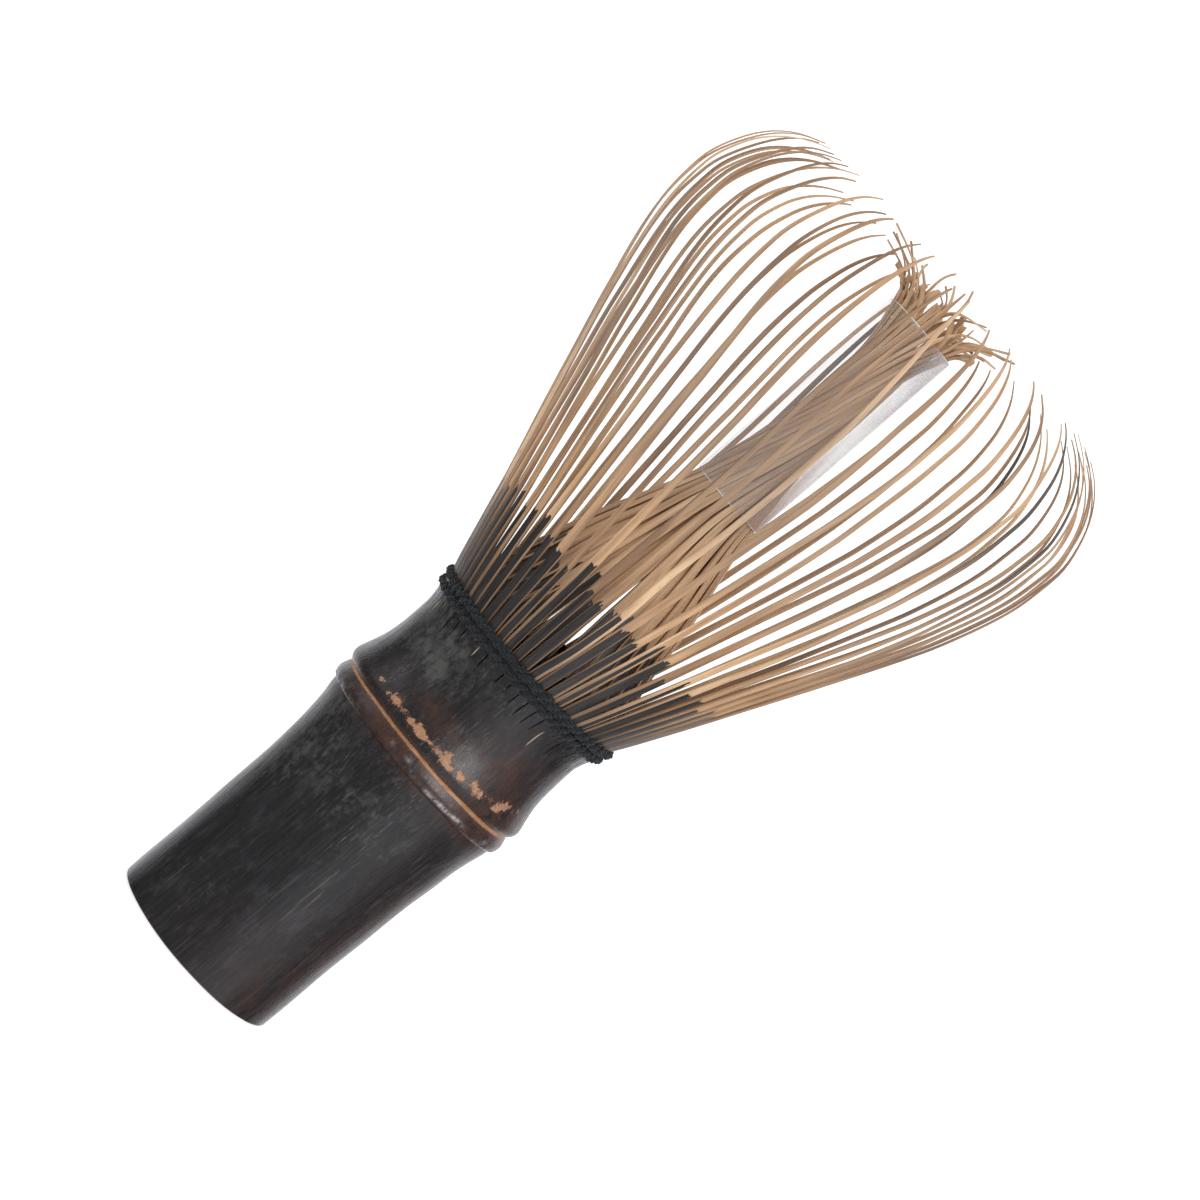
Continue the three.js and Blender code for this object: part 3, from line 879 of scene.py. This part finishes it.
def tine_segments():
    """Twelve outer pieces, baked in place, and twelve inner pieces that go with the handle."""
    looks = [shaved_bamboo(), peeled_bamboo()]
    middle = TINES_PER_SEGMENT // 2
    for segment in range(SEGMENTS):
        first = segment * TINES_PER_SEGMENT - middle
        numbers = [(first + k) % TINES for k in range(TINES_PER_SEGMENT)]
        title = f"{segment + 1:02d}"
        outer, inner = Shape(), Shape()
        for number in numbers:
            outer_tine(outer, number)
            inner_tine(inner, number)
        outer_piece = new_piece(f"cage_tines_{title}", outer, looks)
        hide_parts(f"outer_tines_{title}")
        angle = segment * TINES_PER_SEGMENT * TINE_PITCH
        root, tip = (around(radius, angle, height) / METRE
                     for radius, height in (SEGMENT_ROOT, SEGMENT_TIP))
        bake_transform(outer_piece)
        inner_piece = new_piece(f"core_tines_{title}", inner, looks)
        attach(inner_piece, "handle")
        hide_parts(f"inner_tines_{title}")


# ---------------------------------------------------------------- the thread

YARN_RADIUS = 0.36
YARN_STEPS = 960
YARN_TURN = 0.9985 * TURN  # its two ends don't quite meet
YARN_SEED = 40
PLY_PITCH = 1.25
PLY_OFFSET = 0.45 * YARN_RADIUS  # from the yarn's centre
PLY_RADIUS = 0.62 * YARN_RADIUS
STRAY_FIBRES = 620  # tried on each yarn
STRAY_RADIUS = 0.016


def tube_rings(path, radius, sides):
    """Round rings along a path."""
    along = unit(np.gradient(path, axis=0))
    side = unit(np.cross(along, np.broadcast_to((0, 0, 1.0), along.shape)))
    up = np.cross(along, side)
    turn = np.linspace(0, TURN, sides, endpoint=False)
    radius = np.broadcast_to(radius, len(path))[:, None]
    return rings_along(path, side, np.cos(turn) * radius, up, np.sin(turn) * radius)


def yarn_centre(chance, height, radius, swing, start):
    """A yarn that passes over one tine and under the next, and crosses its partner between them."""
    angle = np.linspace(0, YARN_TURN, YARN_STEPS)
    beat = angle * TINES / 2 + start
    drift = [sum(chance.uniform(0.015, 0.05) * np.sin(k * angle + chance.random() * TURN)
                 for k in (3, 7, 19, 31, 53)) for _ in range(2)]
    out = radius + swing[0] * np.cos(beat) + drift[0] * 0.6
    return around(out, angle, height + swing[1] * np.sin(beat) + drift[1])


def add_yarn(shape, chance, centre):
    """Two plies twisted round each other, with stray fibres standing off them."""
    along = unit(np.gradient(centre, axis=0))
    outwards = unit(centre * (1, 1, 0))
    upwards = np.cross(along, outwards)
    travelled = distance_along(centre)
    for ply in (0, 1):
        turn = TURN * travelled / PLY_PITCH + ply * math.pi
        offset = outwards * np.cos(turn)[:, None] + upwards * np.sin(turn)[:, None]
        path = centre + offset * PLY_OFFSET
        lumps = 1 + 0.12 * np.sin(travelled * 2.3 + ply) * np.sin(travelled * 0.9 + 2 * ply)
        shape.add_tube(tube_rings(path, PLY_RADIUS * lumps, 7))
    for _ in range(STRAY_FIBRES):
        spot = chance.randrange(4, len(centre) - 4)
        turn = chance.random() * TURN
        out = outwards[spot] * math.cos(turn) + upwards[spot] * math.sin(turn)
        if out @ outwards[spot] < -0.3:
            continue
        lean = along[spot] * chance.uniform(-1, 1) + out * chance.uniform(0.2, 0.9)
        lean = lean + np.array([chance.uniform(-0.5, 0.5) for _ in range(3)])
        length = chance.uniform(0.25, 0.7)
        start = centre[spot] + out * YARN_RADIUS * 0.9
        bend = np.array([chance.uniform(-0.5, 0.5) for _ in range(3)])
        steps = np.linspace(0, 1, 4)[:, None]
        path = start + lean * steps * length * 0.7 + bend * steps**2 * length * 0.6
        shape.add_tube(tube_rings(path, STRAY_RADIUS, 3))


def threads():
    """Two binding rows, each a pair of yarns twined round the tines, and the row between the rings."""
    yarn = dark_thread()
    rows = [("binding_thread_lower", "binding_thread_lower_row", 49.72, 13.52, (0.26, 0.27)),
            ("binding_thread_upper", "binding_thread_upper_row", 50.94, 13.86, (0.26, 0.27)),
            ("spreading_thread", "spreader_thread", 53.5, 13.1, (0.25, 0.3))]
    for row, (title, node, height, radius, swing) in enumerate(rows):
        chance = random.Random(YARN_SEED + row)
        shape = Shape()
        for start in (row * 0.8, row * 0.8 + math.pi):
            add_yarn(shape, chance, yarn_centre(chance, height, radius, swing, start))
        piece = new_piece(title, shape, [yarn], crease=80)
        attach(piece, "handle")
        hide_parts(node)


# ---------------------------------------------------------------- the film sleeve

FILM_THICKNESS = 0.07
FILM_HEIGHT = FILM_TOP - FILM_BOTTOM
FILM_START = FRONT + math.radians(36)
FILM_OVERLAP = math.radians(48)
FILM_INSET = 0.12  # from the radius of its CAD solid
LAP_RISE = 0.11  # lifts the lap clear of the edge under it
CRINKLE_HEIGHT = 0.07
TEA_REACH = 17.0  # how far up the lap tea has crept


def film_sleeve():
    """A strip of film rolled round the core, its two edges lapped and welded."""
    heights = np.concatenate([[0, 0.04, 0.1], np.linspace(0.6, FILM_HEIGHT - 0.6, 48)])
    heights = FILM_BOTTOM + np.concatenate([heights, FILM_HEIGHT - heights[2::-1]])
    lap_start = FILM_START + TURN
    angle = np.linspace(FILM_START, lap_start + FILM_OVERLAP, 150)
    into_lap = ease(angle, lap_start - math.radians(14), lap_start)
    grid_angle, grid_height = np.meshgrid(angle, heights)
    place = around(FILM_RADIUS, grid_angle, grid_height)
    radius = FILM_RADIUS - FILM_INSET + LAP_RISE * into_lap
    radius = radius + CRINKLE_HEIGHT * noise_at(place, 0.22, 0.3)
    radius = radius + 0.05 * np.cos(2 * grid_angle + 0.5)
    wave = 0.05 * np.sin(3 * grid_angle + 1) + 0.03 * np.sin(7 * grid_angle)
    skew = (grid_height - FILM_BOTTOM) / FILM_HEIGHT
    grid_height = grid_height + wave * (skew - 0.5) * 2
    outside = around(radius, grid_angle, grid_height)
    inside = around(radius - FILM_THICKNESS, grid_angle, grid_height)
    for sheet in (outside, inside):
        sheet[..., 0] += at_height(CORE_LEAN, grid_height)
    rows, columns = grid_angle.shape
    outer = np.arange(rows * columns).reshape(rows, columns)
    inner = outer + rows * columns
    # The two faces of the film and its four edges, each between two lines of points.
    bands = [(outer[:-1], outer[1:], False), (inner[:-1], inner[1:], True),
             (outer[0], inner[0], True), (outer[-1], inner[-1], False),
             (outer[:, 0], inner[:, 0], False), (outer[:, -1], inner[:, -1], True)]
    shape = Shape()
    shape.points = [outside.reshape(-1, 3), inside.reshape(-1, 3)]
    for low, high, flip in bands:
        corners = [low[..., :-1], low[..., 1:], high[..., 1:], high[..., :-1]]
        quads = np.stack(corners, axis=-1).reshape(-1, 4)
        shape.faces += (quads[:, ::-1] if flip else quads).tolist()
    shape.looks = [0] * len(shape.faces)
    distance = np.minimum(grid_height - grid_height.min(), grid_height.max() - grid_height)
    # The rim: a painted highlight along the top and bottom edges of the film.
    rim = 1 - ease(distance, 0.07, 0.16)
    lap = ease(grid_angle, lap_start - 0.05, lap_start + 0.25)
    # Tea that has crept up between the lapped edges, highest where the lap starts.
    into_fold = (grid_angle - lap_start) / FILM_OVERLAP
    crept = 1 - ease(into_fold + (grid_height - FILM_BOTTOM) / TEA_REACH, 0.75, 1.2)
    for title, field in (("rim", rim), ("lap", lap), ("tea", lap * crept)):
        shape.values[title] = [np.concatenate([field.ravel(), field.ravel()])]
    piece = new_piece("film_sleeve", shape, [clear_film()], crease=60)
    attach(piece, "core_sleeve")
    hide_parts("core_sleeve")


# ---------------------------------------------------------------- camera, stage and light

CAMERA_SPOT = Vector((-0.00017, -0.390, 0.090))
CAMERA_AIM = Vector((-0.00017, 0, 0.06167))
CAMERA_ROLL = math.radians(49.57)  # the whisk leans this far to the right in the view
CAMERA_LENS = 102.6


def add_camera():
    forward = (CAMERA_AIM - CAMERA_SPOT).normalized()
    level = Vector((1, 0, 0))
    upright = level.cross(forward)
    up = upright * math.cos(CAMERA_ROLL) - level * math.sin(CAMERA_ROLL)
    right = level * math.cos(CAMERA_ROLL) + upright * math.sin(CAMERA_ROLL)
    lens = bpy.data.cameras.new("camera")
    lens.lens = CAMERA_LENS
    lens.sensor_width = 36
    camera = bpy.data.objects.new("camera", lens)
    turn = Matrix((right, up, -forward)).transposed().to_4x4()
    camera.matrix_world = Matrix.Translation(CAMERA_SPOT) @ turn
    bpy.context.scene.collection.objects.link(camera)
    bpy.context.scene.camera = camera


FLOOR_GLOW = 0.72  # washes out the shadow round the base
# The floor and the wall that it curves up into, as (radius, height) in metres.
SWEEP = [(0.0001, -0.0001), (0.5, -0.0001), (1.2, -0.0001), (1.5, 0.04), (1.75, 0.25), (1.85, 0.8)]


def add_stage():
    """A pale floor that curves up into a low wall all round."""
    fine = smooth_line(SWEEP, 40)
    angle = np.linspace(0, TURN, 96, endpoint=False)
    rings = np.stack([around(r, angle, z) for r, z in fine]) * METRE
    shape = Shape()
    shape.add_tube(rings[::-1], capped=False)
    material, tree, shader = new_material("pale_floor", Roughness=0.9, Specular_IOR_Level=0.1)
    paper = cloud(tree, millimetres(tree), 0.4, 4.0, 0.6)
    plug(tree, shader.inputs["Base Color"], mixed(tree, paper, FLOOR_GREY, FLOOR_PALE))
    shader.inputs["Emission Color"].default_value = (1, 1, 1, 1)
    shader.inputs["Emission Strength"].default_value = FLOOR_GLOW
    floor = new_piece("pale_floor", shape, [material])
    floor.visible_glossy = False


def add_softbox(name, spot, size, power):
    """A soft light that faces the middle of the whisk."""
    data = bpy.data.lights.new(name, "AREA")
    data.shape = "RECTANGLE"
    data.size, data.size_y = size
    data.energy = power
    lamp = bpy.data.objects.new(name, data)
    lamp.location = spot
    lamp.rotation_mode = "QUATERNION"
    lamp.rotation_quaternion = (WHISK_MIDDLE - Vector(spot)).to_track_quat("-Z", "Y")
    bpy.context.scene.collection.objects.link(lamp)


# What the gloss sees round the whisk, as (degrees from the front, brightness): a softbox to the
# right, a weaker one to the left, gaps beside them and a white sweep behind.
SURROUNDINGS = [
    (-180, 1.5), (-146, 1.4), (-126, 0.12), (-98, 0.12), (-78, 0.4), (-12, 0.4), (14, 0.54),
    (32, 1.4), (66, 1.16), (94, 0.2), (130, 0.12), (146, 1.35), (180, 1.5),
]
WORLD_STRENGTH = 0.86
WHISK_MIDDLE = Vector((0, 0, 0.06))


def add_world():
    """Even white light, with softboxes and gaps that show only in reflections."""
    world = bpy.data.worlds.new("studio")
    bpy.context.scene.world = world
    world.use_nodes = True
    tree = world.node_tree
    way = add(tree, "SeparateXYZ", {"Vector": add(tree, "TexCoord").outputs["Generated"]})
    behind = times(tree, way.outputs["Y"], -1.0)
    angle = calculate(tree, "ARCTAN2", way.outputs["X"], behind)
    share = add(tree, "MapRange", {"Value": angle, "From Min": -math.pi, "From Max": math.pi}).outputs[0]
    ramp = add(tree, "ValToRGB", {"Fac": share})
    ramp.color_ramp.interpolation = "EASE"
    set_stops(ramp, [((degrees + 180) / 360, (bright * 0.98, bright * 0.965, bright))
                     for degrees, bright in SURROUNDINGS])
    glossy = add(tree, "LightPath").outputs["Is Glossy Ray"]
    background = tree.nodes["Background"]
    plug(tree, background.inputs["Color"], mixed(tree, glossy, (1, 1, 1), ramp.outputs[0]))
    background.inputs["Strength"].default_value = WORLD_STRENGTH


def add_lights():
    add_softbox("key", (0.62, -0.75, 0.62), size=(0.4, 0.6), power=5.5)
    add_softbox("side", (-0.9, -0.1, 0.5), size=(0.5, 0.9), power=1.2)
    add_world()
    bpy.context.scene.view_settings.view_transform = "Standard"


add_camera()
culm()
tine_segments()
threads()
film_sleeve()
add_stage()
add_lights()
